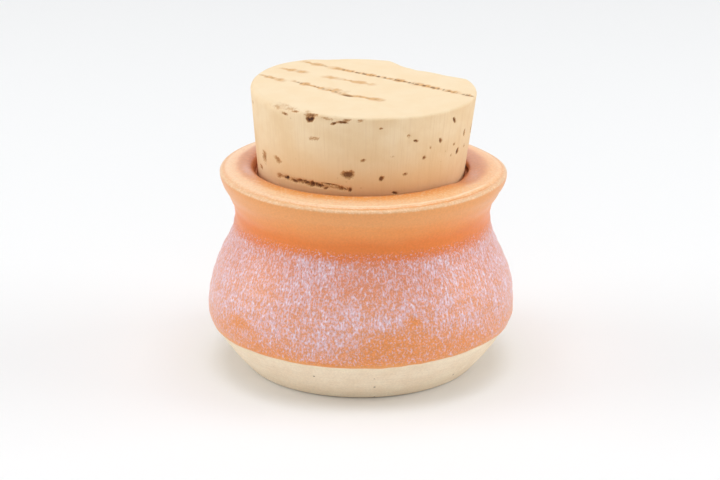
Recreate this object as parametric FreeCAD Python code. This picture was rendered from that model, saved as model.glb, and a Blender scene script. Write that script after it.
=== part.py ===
"""Small hand-thrown stoneware jar shut by a tapered natural cork.

Millimetres, +Z up.  The origin is the centre of the flat base, and -Y is the front.
Two pieces, one STEP file each in parts/:
    jar    pot-bellied body with a flared, rounded lip, solid below the cork
    cork   tapered stopper that leans a little, with a strip of bark edge missing at the back right
"""
import FreeCAD
import Part
import math
import os
from FreeCAD import Vector

# ---------------------------------------------------------------- driving dimensions
# cork
CORK_TOP_RADIUS = 27.7      # at its top edge
CORK_TAPER = 6.1            # degrees that its side leans in, going down
CORK_EXPOSED = 21.7         # from the jar's ledge round the cork up to the middle of the cork's top
CORK_HIDDEN = 12.0          # length of cork below that ledge
CORK_LEAN = 1.8             # degrees that its top leans towards +X
WANE_DEPTH = 6.0            # width of the missing strip at the top face, from rim to straight edge
WANE_DIRECTION = 58.0       # degrees from +X towards +Y in which the strip faces
WANE_SLOPE = 19.0           # degrees that the strip's face leans out from upright, going down
WANE_START = 10.6           # how far to the left of its middle the strip begins
WANE_EASE = 8.5             # length over which it eases in to its full depth

# how the cork sits
FIT_GAP = 0.15              # clearance between cork and socket
CREVICE_WIDTH = 1.1         # open ring round the cork at the top of the mouth
CREVICE_DEPTH = 2.4         # from the crown of the lip down to the ledge

# lip, measured from the mouth outwards and from the crown downwards
MOUTH_ROUND = 1.6           # radius that the mouth's edge rolls in with
RIM_WIDTH = 4.2             # from the crown out to the edge of the sloping top
RIM_DROP = 0.6              # fall of the sloping top over that width
LIP_ROLL_WIDTH = 2.8        # from that edge out to the lip's widest line
LIP_ROLL_HEIGHT = 1.3       # and down to it
FLARE_HEIGHT = 10.1         # from the neck's narrowest line up to the lip's widest
NECK_WALL = 4.9             # from the mouth's edge out to the neck's narrowest line

# body
BASE_RADIUS = 27.2          # flat that the jar stands on
FOOT_ROUND = 2.8            # radius that the base's edge turns up with
FOOT_ANGLE = 40.0           # degrees that it turns through
BELLY_RADIUS = 38.0
BELLY_HEIGHT = 14.1         # height of the belly's widest line
NECK_HEIGHT = 38.9          # height of the neck's narrowest line

# fullness: the reach of each curve's handles
FOOT_REACH = 4.0            # on from the foot's edge, before the wall turns up
BELLY_UNDER = 2.4           # below the belly's widest line
BELLY_OVER = 13.0           # above it
NECK_UNDER = 8.7
NECK_OVER = 4.0
LIP_UNDER = 2.8

# ---------------------------------------------------------------- derived heights and radii
LIP_HEIGHT = NECK_HEIGHT + FLARE_HEIGHT
RIM_EDGE_HEIGHT = LIP_HEIGHT + LIP_ROLL_HEIGHT
CROWN_HEIGHT = RIM_EDGE_HEIGHT + RIM_DROP
LEDGE_HEIGHT = CROWN_HEIGHT - CREVICE_DEPTH

CORK_TOP_HEIGHT = LEDGE_HEIGHT + CORK_EXPOSED
CORK_LENGTH = CORK_EXPOSED + CORK_HIDDEN
TAPER_RATE = math.tan(math.radians(CORK_TAPER))
CORK_LEDGE_RADIUS = CORK_TOP_RADIUS - CORK_EXPOSED * TAPER_RATE

MOUTH_RADIUS = CORK_LEDGE_RADIUS + CREVICE_WIDTH
CROWN_RADIUS = MOUTH_RADIUS + MOUTH_ROUND
RIM_EDGE_RADIUS = CROWN_RADIUS + RIM_WIDTH
LIP_RADIUS = RIM_EDGE_RADIUS + LIP_ROLL_WIDTH
NECK_RADIUS = MOUTH_RADIUS + NECK_WALL


def at(radius, height):
    """A point of the jar's outline, drawn in the XZ plane."""
    return Vector(radius, 0, height)


def line(start, end):
    return Part.LineSegment(start, end).toShape()


def swell(*poles):
    """One cubic Bezier stretch of the outline: start, two handles, end."""
    curve = Part.BezierCurve()
    curve.setPoles(list(poles))
    return curve.toShape()


def foot_point(turn):
    """A point of the foot's edge, where it has turned up by an angle in radians."""
    return at(BASE_RADIUS + FOOT_ROUND * math.sin(turn), FOOT_ROUND * (1 - math.cos(turn)))


def jar_outline():
    """Half of the jar's section, from the axis out round the belly and lip and back to the axis."""
    turn = math.sqrt(0.5)
    foot_turn = math.radians(FOOT_ANGLE)
    foot = foot_point(foot_turn)
    foot_handle = at(FOOT_REACH * math.cos(foot_turn), FOOT_REACH * math.sin(foot_turn))
    belly = at(BELLY_RADIUS, BELLY_HEIGHT)
    neck = at(NECK_RADIUS, NECK_HEIGHT)
    lip = at(LIP_RADIUS, LIP_HEIGHT)
    rim_edge = at(RIM_EDGE_RADIUS, RIM_EDGE_HEIGHT)
    crown = at(CROWN_RADIUS, CROWN_HEIGHT)
    mouth = at(MOUTH_RADIUS, CROWN_HEIGHT - MOUTH_ROUND)
    foot_arc = Part.Arc(foot_point(0), foot_point(foot_turn / 2), foot).toShape()
    mouth_arc = Part.Arc(
        crown,
        at(CROWN_RADIUS - MOUTH_ROUND * turn, CROWN_HEIGHT - MOUTH_ROUND * (1 - turn)),
        mouth,
    ).toShape()
    return [
        line(at(0, 0), at(BASE_RADIUS, 0)),
        foot_arc,
        swell(foot, foot + foot_handle, belly - at(0, BELLY_UNDER), belly),
        swell(belly, belly + at(0, BELLY_OVER), neck - at(0, NECK_UNDER), neck),
        swell(neck, neck + at(0, NECK_OVER), lip - at(0, LIP_UNDER), lip),
        swell(
            lip,
            lip + at(0, LIP_ROLL_HEIGHT / 2),
            rim_edge + at(LIP_ROLL_WIDTH / 2, -RIM_DROP / 2),
            rim_edge,
        ),
        swell(
            rim_edge,
            rim_edge + at(-RIM_WIDTH / 3, RIM_DROP / 2),
            crown + at(RIM_WIDTH / 3, 0),
            crown,
        ),
        mouth_arc,
        line(mouth, at(MOUTH_RADIUS, LEDGE_HEIGHT)),
        line(at(MOUTH_RADIUS, LEDGE_HEIGHT), at(0, LEDGE_HEIGHT)),
        line(at(0, LEDGE_HEIGHT), at(0, 0)),
    ]


def lean(shape):
    """Tip an upright shape by the cork's lean, about the middle of the ledge."""
    shape.rotate(Vector(0, 0, LEDGE_HEIGHT), Vector(0, 1, 0), CORK_LEAN)
    return shape


def cork_cone(low, high, gap):
    """The cork's tapered form between two heights over the ledge, grown sideways by a gap."""
    low_radius = CORK_LEDGE_RADIUS + low * TAPER_RATE + gap
    high_radius = CORK_LEDGE_RADIUS + high * TAPER_RATE + gap
    return Part.makeCone(low_radius, high_radius, high - low, Vector(0, 0, LEDGE_HEIGHT + low))


def make_jar():
    body = Part.Face(Part.Wire(jar_outline())).revolve(Vector(0, 0, 0), Vector(0, 0, 1), 360)
    socket = cork_cone(-CORK_HIDDEN - FIT_GAP, CORK_EXPOSED, FIT_GAP)
    return body.cut(lean(socket))


def wane_cutter():
    """The wedge of air where bark is missing: drawn on the top face, swept down and outwards.

    u runs along the strip's straight edge and v outwards from the cork's axis.
    """
    out = math.radians(WANE_DIRECTION)
    over = 2.0
    edge = CORK_TOP_RADIUS - WANE_DEPTH
    rim_at_start = math.sqrt(CORK_TOP_RADIUS ** 2 - WANE_START ** 2)
    far = CORK_TOP_RADIUS + over
    sweep = CORK_EXPOSED + over
    step_out = math.tan(math.radians(WANE_SLOPE))

    def place(u, v):
        v_here = v - over * step_out
        x = u * math.sin(out) + v_here * math.cos(out)
        y = v_here * math.sin(out) - u * math.cos(out)
        return Vector(x, y, CORK_TOP_HEIGHT + over)

    corner = place(-WANE_START, rim_at_start + over)
    begin = place(-WANE_START, rim_at_start)
    eased = place(WANE_EASE - WANE_START, edge)
    wire = Part.Wire([
        line(corner, begin),
        swell(
            begin,
            place(WANE_EASE * 0.35 - WANE_START, rim_at_start - WANE_DEPTH * 0.1),
            place(WANE_EASE * 0.4 - WANE_START, edge),
            eased,
        ),
        line(eased, place(far, edge)),
        line(place(far, edge), place(far, far)),
        line(place(far, far), place(-WANE_START, far)),
        line(place(-WANE_START, far), corner),
    ])
    slant = Vector(math.cos(out) * step_out, math.sin(out) * step_out, -1) * sweep
    return Part.Face(wire).extrude(slant)


def make_cork():
    stopper = cork_cone(-CORK_HIDDEN, CORK_EXPOSED, 0)
    return lean(stopper.cut(wane_cutter()))


def main():
    os.makedirs("parts", exist_ok=True)
    for name, make in (("jar", make_jar), ("cork", make_cork)):
        solid = make().Solids[0]
        solid.exportStep("parts/" + name + ".step")
        box = solid.BoundBox
        print(name, "valid", solid.isValid(), "volume cm3", round(solid.Volume / 1000, 2),
              "z", round(box.ZMin, 2), round(box.ZMax, 2), "x", round(box.XMin, 2), round(box.XMax, 2))


main()
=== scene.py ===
# %% [markdown]
# # A small jar of hand-thrown stoneware, shut with a cork
#
# The real thing is two pieces.  A potter throws the jar on a wheel, leaves the foot bare and glazes
# the rest, and a tapered stopper cut from cork bark is pushed into the mouth.
#
# The construction model already has both pieces at their real size, but its skin is plain.  Here each
# piece gets a new, finer skin: a surface worked out with numpy over the same outline, with the small
# unevenness of handwork in the mesh itself, and a material built from nodes for what is too fine to
# model.  We start by loading the construction model, because every size below is measured from it.

# %% Load the fixed frame and measure it
import math

import bpy
import numpy as np
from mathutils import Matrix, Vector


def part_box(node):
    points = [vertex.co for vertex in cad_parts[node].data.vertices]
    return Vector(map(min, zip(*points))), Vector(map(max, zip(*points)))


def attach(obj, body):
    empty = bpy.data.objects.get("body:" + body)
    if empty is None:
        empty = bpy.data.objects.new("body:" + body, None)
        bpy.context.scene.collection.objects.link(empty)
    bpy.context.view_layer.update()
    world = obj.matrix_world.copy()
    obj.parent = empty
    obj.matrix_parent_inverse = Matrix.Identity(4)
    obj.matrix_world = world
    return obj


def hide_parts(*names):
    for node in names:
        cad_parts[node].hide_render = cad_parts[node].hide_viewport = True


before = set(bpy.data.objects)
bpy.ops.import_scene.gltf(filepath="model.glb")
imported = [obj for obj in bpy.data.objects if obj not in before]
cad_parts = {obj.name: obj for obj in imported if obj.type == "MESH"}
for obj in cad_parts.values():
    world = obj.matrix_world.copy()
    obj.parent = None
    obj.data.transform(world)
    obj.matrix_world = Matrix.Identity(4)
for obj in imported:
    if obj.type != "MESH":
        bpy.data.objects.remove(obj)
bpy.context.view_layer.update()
print("solids in the frame:", len(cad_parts))

MM = 0.001
jar_low, jar_high = [np.array(corner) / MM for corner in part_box("jar")]
cork_low, cork_high = [np.array(corner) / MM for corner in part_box("cork")]
print("jar, mm:", jar_low.round(2), jar_high.round(2))
print("cork, mm:", cork_low.round(2), cork_high.round(2))

# %% [markdown]
# ## Small tools
#
# Both skins are grids of points: columns run round the axis, rows run along the outline.  A few
# helpers are shared: a smooth step, a bell, smooth noise, and a Bezier stretch of outline.  The noise
# is worked out on whole arrays, so a hundred thousand points take a moment and no loop.

# %% Curves that shape and blend
def ease(low, high, x):
    """0 below low, 1 above high, and the smooth curve 3t^2 - 2t^3 between them."""
    t = np.clip((x - low) / (high - low), 0.0, 1.0)
    return t * t * (3 - 2 * t)


def bell(x, centre, width):
    """exp(-t^2), where t is the distance from the centre in widths: 1 at the centre, 0 far away."""
    return np.exp(-(((x - centre) / width) ** 2))


def stretch(start, handle_1, handle_2, end, count):
    """count points of the cubic Bezier (1-t)^3 P0 + 3(1-t)^2 t P1 + 3(1-t) t^2 P2 + t^3 P3.

    Each point is (radius, height).  The end point is left for the next stretch to begin with.
    """
    t = np.arange(count)[:, None] / count
    p0, p1, p2, p3 = (np.array(p, float) for p in (start, handle_1, handle_2, end))
    return (1 - t) ** 3 * p0 + 3 * (1 - t) ** 2 * t * p1 + 3 * (1 - t) * t ** 2 * p2 + t ** 3 * p3


def straight(start, end, count):
    """count evenly spaced points from start towards end, leaving out the end."""
    t = np.arange(count)[:, None] / count
    return np.array(start, float) * (1 - t) + np.array(end, float) * t


print("ease at a half:", ease(0, 1, 0.5), " bell one width away:", bell(1, 0, 1).round(3))

# %% Smooth noise
def cloud(x, y, z, cell, seed):
    """Smooth noise from -1 to 1 in space.

    Random values stand on a lattice whose cells have the given size, and a point blends the eight
    values round it with the smooth step of its place in the cell.  Each seed also moves the lattice
    by a share of a cell, so that no two of them line up.
    """
    side = 32
    values = np.random.default_rng(seed).uniform(-1, 1, (side, side, side))
    place = np.stack(np.broadcast_arrays(x, y, z)).astype(float) / cell + 0.37 * seed
    corner = np.floor(place).astype(int)
    t = place - corner
    t = t * t * (3 - 2 * t)
    total = np.zeros(place.shape[1:])
    for up_x, up_y, up_z in np.ndindex(2, 2, 2):
        weight = (t[0] if up_x else 1 - t[0]) * (t[1] if up_y else 1 - t[1])
        weight = weight * (t[2] if up_z else 1 - t[2])
        index = [(corner[axis] + up) % side for axis, up in enumerate((up_x, up_y, up_z))]
        total += weight * values[index[0], index[1], index[2]]
    return total


def rough(x, y, z, cell, seed):
    """Three layers of cloud, each half the size and half the height of the one before.

    Their sum is divided by the sum of the heights, so that it too stays between -1 and 1.
    """
    heights = (1.0, 0.5, 0.25)
    layers = [share * cloud(x, y, z, share * cell, seed + k) for k, share in enumerate(heights)]
    return sum(layers) / sum(heights)


sample = cloud(np.linspace(0, 9, 50), 0, 0, 1.0, 4)
print("noise runs from", sample.min().round(2), "to", sample.max().round(2))

# %% From a grid of points to a closed skin
def closed_skin(name, points, fields):
    """Makes a mesh object from points[row, column] in millimetres.

    Columns close on themselves.  The first and last rows are poles, each one vertex with a fan of
    triangles, so the skin has no hole and no seam.  Columns run anticlockwise seen from above and
    rows from the underside to the top, which makes every face look outwards.  Each field is a value
    per grid point, stored as an attribute that the material reads.
    """
    rows, columns = points.shape[:2]
    body = points[1:-1].reshape(-1, 3)
    south, north = 0, len(body) + 1
    vertices = np.vstack([points[0].mean(0), body, points[-1].mean(0)]) * MM
    ring = 1 + np.arange(rows - 2)[:, None] * columns
    here = np.arange(columns)[None, :]
    after = np.roll(here, -1, axis=1)
    low, high = ring[:-1], ring[1:]
    quads = np.stack([low + here, low + after, high + after, high + here], -1).reshape(-1, 4)
    first, last = ring[0, 0], ring[-1, 0]
    here, after = here[0], after[0]
    bottom_fan = np.stack([np.full(columns, south), first + after, first + here], -1)
    top_fan = np.stack([last + here, last + after, np.full(columns, north)], -1)
    mesh = bpy.data.meshes.new(name)
    faces = quads.tolist() + bottom_fan.tolist() + top_fan.tolist()
    mesh.from_pydata(vertices.tolist(), [], faces)
    mesh.shade_smooth()
    for field, grid in fields.items():
        values = np.concatenate([[grid[0].mean()], grid[1:-1].ravel(), [grid[-1].mean()]])
        mesh.attributes.new(field, "FLOAT", "POINT").data.foreach_set("value", values)
    piece = bpy.data.objects.new(name, mesh)
    bpy.context.scene.collection.objects.link(piece)
    triangles = 2 * len(quads) + 2 * columns
    print(name, "has", len(vertices), "vertices and", triangles, "triangles")
    return piece


# %% [markdown]
# ## The jar's outline
#
# A thrown pot is a turned form, so one line says nearly all of it: out along the flat base, up the
# wall to a low belly, in to the neck, out to the lip, over the lip and down into the mouth.  It is
# drawn as Bezier stretches whose handles stand upright at the belly, the neck and the lip, because
# there the wall is upright too, and the joins come out smooth.  Below the mouth it goes on down the
# socket that the cork stands in, and closes at the axis.

# %% Heights and radii of the jar, in millimetres
# The solid's box gives the widest radius and the crown, which is the highest ring of the lip.  The
# other values are those that the solid was turned with.
BELLY_RADIUS = jar_high[0] - 0.05
CROWN_HEIGHT = jar_high[2]
LIP_HEIGHT = CROWN_HEIGHT - 1.9
NECK_HEIGHT = LIP_HEIGHT - 10.1
LEDGE_HEIGHT = CROWN_HEIGHT - 2.4
BELLY_HEIGHT = 14.1
BASE_RADIUS = 27.2
NECK_RADIUS = 31.43
LIP_RADIUS = 35.05
RIM_EDGE = (32.35, CROWN_HEIGHT - 0.6)
CROWN_RADIUS = 27.8
MOUTH_RADIUS = 26.05
MOUTH_ROUND = 1.6
SOCKET_RADIUS = 25.52
SOCKET_DEPTH = 12.15
CORK_LEAN = 1.8
SOCKET_TAPER = math.tan(math.radians(6.1))
FOOT_TURN = math.radians(40)
FOOT_ROUND = 2.8
BASE_ROWS = 22
COLUMNS = 384


def jar_outline():
    """Rows of (radius, height) from the middle of the base round to the middle of the socket.

    Also says where each row lies on the lip: 0 up to the lip's widest line, 1 at the edge of the
    sloping top, 2 at the crown, 3 at the ledge inside the mouth and beyond it.
    """
    turn = np.linspace(0, FOOT_TURN, 10, endpoint=False)
    foot_arc = np.stack([BASE_RADIUS + FOOT_ROUND * np.sin(turn), FOOT_ROUND * (1 - np.cos(turn))], -1)
    foot = (BASE_RADIUS + FOOT_ROUND * math.sin(FOOT_TURN), FOOT_ROUND * (1 - math.cos(FOOT_TURN)))
    foot_handle = (foot[0] + 4 * math.cos(FOOT_TURN), foot[1] + 4 * math.sin(FOOT_TURN))
    belly = (BELLY_RADIUS, BELLY_HEIGHT)
    neck = (NECK_RADIUS, NECK_HEIGHT)
    lip = (LIP_RADIUS, LIP_HEIGHT)
    crown = (CROWN_RADIUS, CROWN_HEIGHT)
    mouth = (MOUTH_RADIUS, CROWN_HEIGHT - MOUTH_ROUND)
    ledge = (MOUTH_RADIUS, LEDGE_HEIGHT)
    socket = (SOCKET_RADIUS, LEDGE_HEIGHT)
    floor_height = LEDGE_HEIGHT - SOCKET_DEPTH
    socket_floor = (SOCKET_RADIUS - SOCKET_DEPTH * SOCKET_TAPER, floor_height)
    wall = [
        straight((0, 0), (BASE_RADIUS, 0), BASE_ROWS),
        foot_arc,
        stretch(foot, foot_handle, (BELLY_RADIUS, BELLY_HEIGHT - 2.4), belly, 46),
        stretch(belly, (BELLY_RADIUS, BELLY_HEIGHT + 13), (NECK_RADIUS, NECK_HEIGHT - 8.7), neck, 66),
        stretch(neck, (NECK_RADIUS, NECK_HEIGHT + 4), (LIP_RADIUS, LIP_HEIGHT - 2.8), lip, 34),
    ]
    roll = stretch(lip, (LIP_RADIUS, LIP_HEIGHT + 0.65), (33.75, RIM_EDGE[1] - 0.3), RIM_EDGE, 34)
    top = stretch(RIM_EDGE, (30.95, RIM_EDGE[1] + 0.3), (29.3, CROWN_HEIGHT), crown, 18)
    inward = stretch(crown, (26.8, CROWN_HEIGHT), (MOUTH_RADIUS, CROWN_HEIGHT - 0.7), mouth, 12)
    inside = [
        straight(mouth, ledge, 3),
        straight(ledge, socket, 3),
        straight(socket, socket_floor, 6),
        straight(socket_floor, (0, floor_height), 6),
        np.array([[0, floor_height]]),
    ]
    across = (roll, top, inward)
    marks = [np.zeros(len(part)) for part in wall]
    marks += [step + np.arange(len(part)) / len(part) for step, part in enumerate(across)]
    marks += [np.full(len(part), 3.0) for part in inside]
    return np.vstack([*wall, *across, *inside]), np.concatenate(marks)


outline, on_lip = jar_outline()
print("outline rows:", len(outline), " widest:", outline[:, 0].max().round(2))

# %% [markdown]
# ## The jar's skin
#
# Turning the outline gives a form that is too perfect.  A thrown pot keeps the spiral of the
# potter's fingers, it is a little out of round, and here its neck and lip stand slightly to one
# side.  The glaze is a real layer, about a third of a millimetre thick, that ends in a soft bead
# above the foot.  All of that is added to the mesh by moving each point along the outline's normal.

# %% Where the glaze ends
GLAZE_THICKNESS = 0.3
GLAZE_EDGE_HEIGHT = 11.1


def glaze_line(angle):
    """Height of the glaze's lower edge: a level ring with two slow waves and some small ones."""
    slow = 0.22 * np.sin(angle) + 0.2 * np.cos(4 * (angle - math.radians(50)))
    x, y = np.sin(angle), np.cos(angle)
    return GLAZE_EDGE_HEIGHT + slow + 0.22 * rough(x * 30, y * 30, 0 * x, 3.0, 21)


angles = np.linspace(0, 2 * math.pi, COLUMNS, endpoint=False)
print("glaze line between", glaze_line(angles).min().round(2), "and", glaze_line(angles).max().round(2))

# %% Where the lilac veil is thick and thin
# Each patch is (degrees round from the front, height, half width in degrees, half height, how much).
# The last four are at the sides and the back.
VEIL_TOP = 39.2
VEIL_PATCHES = [
    (-25, 34, 13, 4.0, 0.16),
    (8, 31.5, 13, 5.0, -0.2),
    (-2, 28, 7, 4.0, -0.1),
    (15, 17.5, 12, 3.6, -0.42),
    (3, 16, 10, 3.5, -0.16),
    (36, 16, 18, 4.0, -0.12),
    (-51, 17.8, 6, 1.4, -0.6),
    (-48, 15, 14, 3.0, 0.06),
    (-16, 15.5, 12, 3.5, 0.2),
    (12, 22.5, 9, 2.2, 0.2),
    (19, 22.0, 3.0, 1.3, -0.8),
    (-44, 28, 13, 8.0, -0.16),
    (48, 29, 13, 7.0, -0.12),
    (-8, 37, 5, 1.6, -0.2),
    (26, 37.2, 22, 1.3, 0.12),
    (-44, 33.5, 14, 2.5, -0.12),
    (118, 16, 24, 5.0, -0.5),
    (160, 19, 15, 4.0, -0.4),
    (-150, 15, 30, 4.5, -0.45),
    (-108, 17, 13, 4.0, -0.45),
]


def turned_from(degrees, middle):
    """Angle from a middle direction, in degrees, between -180 and 180."""
    return (degrees - middle + 180) % 360 - 180


def veil_thickness(degrees, height):
    """How thick the lilac layer is: full on the shoulder, thinner below, none round the neck.

    Its upper edge is level apart from two slow waves.  Each patch adds its amount times one bell
    across and one bell up.
    """
    top = VEIL_TOP - 1.0 * np.sin(np.radians(degrees / 2)) ** 2 + 0.7 * bell(degrees, -38, 26)
    veil = (1 - ease(top - 5.0, top, height)) * (0.66 + 0.34 * ease(12, 20, height))
    fading = 1 - ease(top - 3.5, top, height)
    for middle, up, half_width, half_height, amount in VEIL_PATCHES:
        patch = bell(turned_from(degrees, middle), 0, half_width) * bell(height, up, half_height)
        veil = veil + amount * fading * patch
    return np.clip(veil * ease(11.3, 12.6, height), 0, 1.3)


print("veil on the front at half height:", veil_thickness(0.0, 25.0).round(2))

# %% Small forms that stand out from the turned wall
RING_STEP = 3.4
RING_HEIGHT = 0.05


def small_forms(x, y, z, angle, lip, wall, above_line, glazed):
    """How far each point stands out along the outline's normal, in millimetres.

    It is the sum of the throwing rings, which climb as a spiral, fine turning marks in the bare
    clay, a slow wobble, two ridges round the lip with a groove between them, the glaze's thickness
    with a bead along its lower edge, and the unevenness of the glaze itself.
    """
    climb = 2 * math.pi * (z / RING_STEP + angle / (2 * math.pi))
    rings = RING_HEIGHT * np.sin(climb + 2.2 * cloud(x, y, z, 14.0, 3))
    rings = rings * ease(2, 8, z) * (1 - ease(46, 48.5, z)) * wall
    turning = 0.018 * rough(x * 0.04, y * 0.04, z, 0.7, 8) * (1 - glazed) * wall
    wobble = 0.1 * cloud(x, y, z, 24.0, 5) * ease(1, 5, z) * (1 - ease(2.2, 2.9, lip))
    ridges = 0.05 * bell(lip, 0.3, 0.16) + 0.07 * bell(lip, 0.87, 0.12) - 0.1 * bell(lip, 0.59, 0.08)
    layer = GLAZE_THICKNESS * (glazed - 1) * wall + 0.07 * bell(above_line, 0.5, 0.5) * wall
    uneven = 0.03 * rough(x, y, z * 0.5, 1.6, 12) * glazed * (1 - ease(0.1, 0.5, lip))
    out = rings + turning + wobble + ridges * wall + layer + uneven
    return out * ease(0.0, 1.2, z)


def wire_marks(x, y, z):
    """Height of the arcs that a cutting wire leaves under a pot: a sine of the distance from a point."""
    swirl = np.hypot(x - 7, y + 4)
    return 0.05 * (1 + np.sin(2 * math.pi * swirl / 1.3 + cloud(x, y, z, 6.0, 9)))


print("throwing rings climb", RING_STEP, "mm a turn and stand", RING_HEIGHT, "mm proud")

# %% How the neck and lip are out of true
def lip_sag(x, side, lip):
    """How far the lip hangs down: tipped to the right, and lower at three places round it."""
    sag = 0.0065 * x + 0.5 * bell(side, 118, 26) + 0.15 * bell(side, -118, 30)
    sag = sag + 1.25 * bell(side, 67, 12) * ease(1.05, 2.0, lip)
    return sag * (1 - 0.5 * ease(2, 2.9, lip))


def out_of_true(side, radius, height, lip, rising):
    """How far each point moves left or right, as (all to the right, each to its own side).

    The neck and lip stand 0.45 mm to the right of the foot.  The belly is a little fuller at both
    sides, and on the right the lip is pulled out and the mouth is pulled open.
    """
    inner = 1 - 1.6 * ease(0.8, 2.4, lip)
    left_belly = 0.38 * bell(side, -82, 30) * bell(height, 29, 3.6)
    right_belly = 0.28 * bell(side, 84, 30) * bell(height, 22, 4.5)
    opened = 0.9 * bell(side, 82, 12) * ease(2.0, 2.8, lip) * (radius > MOUTH_RADIUS - 0.01)
    stretched = (0.35 * bell(side, 84, 24) - 0.25 * bell(side, 132, 20)) * rising
    shift = 0.45 * ease(14, 42, height) * (lip < 2.99) * inner
    return shift, (left_belly + right_belly) * (lip < 0.01) + opened + stretched * inner


print("the lip hangs down at its right by", round(lip_sag(LIP_RADIUS, 90, 1.0), 2), "mm")

# %% Turn the outline and make it handmade
def jar_surface():
    """Points of the jar's skin and the fields that its material reads.

    A point is the outline turned by the column's angle and moved along the outline's normal by the
    small forms.  Then the neck and lip are put out of true, the wire's marks are cut into the
    underside, and the socket is tipped to suit the cork.
    """
    along = np.gradient(outline, axis=0)
    along /= np.maximum(np.linalg.norm(along, axis=1, keepdims=True), 1e-9)
    normal = np.stack([along[:, 1], -along[:, 0]], -1)
    radius, height = outline[:, :1], outline[:, 1:]
    angle = angles[None, :]
    side = turned_from(np.degrees(angle), 0)
    x, y = radius * np.sin(angle), -radius * np.cos(angle)
    z = np.broadcast_to(height, x.shape)
    lip = on_lip[:, None]
    # The wall is all that lies between the flat base and the socket.
    in_socket = lip > 2.99
    wall = ~in_socket & (np.arange(len(outline))[:, None] > BASE_ROWS)

    above_line = z - glaze_line(angle)
    glazed = np.where(wall, ease(-0.12, 0.22, above_line), 0.0)
    out = small_forms(x, y, z, angle, lip, wall, above_line, glazed) * ~in_socket
    radial = radius + out * normal[:, :1]
    x, y = radial * np.sin(angle), -radial * np.cos(angle)
    z = height + out * normal[:, 1:]

    rising = ease(40, 49, height) * ~in_socket
    shift, outward = out_of_true(side, radius, height, lip, rising)
    z = z - lip_sag(x, side, lip) * rising
    x = x + shift + outward * np.sin(angle)
    z = z + wire_marks(x, y, z) * (height < 0.01) * (1 - ease(24.5, 26, radius))

    tip = math.radians(CORK_LEAN)
    tipped = (height < LEDGE_HEIGHT - 0.01) & in_socket
    x_tipped = x * math.cos(tip) + (z - LEDGE_HEIGHT) * math.sin(tip)
    z_tipped = LEDGE_HEIGHT - x * math.sin(tip) + (z - LEDGE_HEIGHT) * math.cos(tip)
    x, z = np.where(tipped, x_tipped, x), np.where(tipped, z_tipped, z)

    # Deep in the socket, where nothing shows, the clay is bare.
    deep = (height < LEDGE_HEIGHT - 0.5) & in_socket
    everywhere = np.zeros_like(x)
    fields = {
        "above_line": np.where(wall | in_socket & ~deep, above_line, -5.0),
        "on_lip": lip + everywhere,
        "veil": veil_thickness(side, height) * (lip < 0.01) + everywhere,
        # The next field is a painted highlight: a soft lavender patch on the mouth's inner roll at the
        # left and right.
        "painted_highlight": (bell(side, -77, 9) + bell(side, 74, 7)) * bell(lip, 1.85, 0.26) + everywhere,
    }
    return np.stack([x, y, z], -1), fields


def corners(points):
    """Lowest and highest corner of a grid of points."""
    flat = points.reshape(-1, 3)
    return flat.min(0).round(2), flat.max(0).round(2)


jar_points, jar_fields = jar_surface()
jar = closed_skin("jar_skin", jar_points, jar_fields)
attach(jar, "root")
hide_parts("jar")
print("jar skin reaches", *corners(jar_points))

# %% [markdown]
# ## The cork
#
# The stopper is a cone of cork bark cut across the bark's layers, so the yearly layers show on its
# top as long, nearly parallel dark lines, and the breathing pores that run through bark show on its
# side as small brown pits.  A strip at the back right was outside the bark, so the edge is missing
# there.  The front left edge has crumbled a little.  It is one closed surface: the outline of a
# cone whose radius changes with the angle, with every hollow pushed in along the normal.

# %% Sizes of the cork, in millimetres
CORK_TOP_RADIUS = (cork_high[0] - cork_low[0]) / 2
CORK_EXPOSED = 21.7
CORK_HIDDEN = 12.0
CORK_COLUMNS = 540
SKIN_INSET = 0.12
WANE_MIDDLE = 58.0
WANE_HALF = 60.0
WANE_FLAT = 22.2
WANE_RATE = math.tan(math.radians(19))


def cone_radius(height):
    """Radius of the plain cone at a height over the ledge that it stands in."""
    return CORK_TOP_RADIUS - (CORK_EXPOSED - height) * SOCKET_TAPER


def out_of_round(degrees, height):
    """How far the cork stands out from the cone near its top: fuller at the back left, flat behind.

    Directions here are in degrees from the right, going anticlockwise seen from above.
    """
    full = 0.75 * bell(turned_from(degrees, 137), 0, 17)
    flat = 1.5 * ease(70, 76, degrees) * (1 - ease(109, 122, degrees))
    near_top = ease(CORK_EXPOSED - 12, CORK_EXPOSED - 1, height)
    return (full - flat) * near_top


def wane_radius(degrees, height):
    """Radius of the missing strip's face: a flat wall that leans out going down.

    A flat wall at distance d from the axis has radius d / cos(a), where a is the angle from its
    middle.  At one end the wall steps out to meet the full edge, and it has one shallow hollow.
    """
    a = turned_from(WANE_MIDDLE, degrees)
    step = 3.2 * (1 - ease(-22, -1, a)) - 0.6 * bell(a, 7, 4) - 0.35 * bell(a, 28, 7)
    distance = WANE_FLAT + step + (CORK_EXPOSED - height) * WANE_RATE
    reach = distance / np.cos(np.radians(np.clip(a, -WANE_HALF, WANE_HALF)))
    return np.where(np.abs(a) < WANE_HALF, reach, 99.0)


print("cork radius at its top and at the ledge:", [round(cone_radius(h), 2) for h in (CORK_EXPOSED, 0)])

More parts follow.
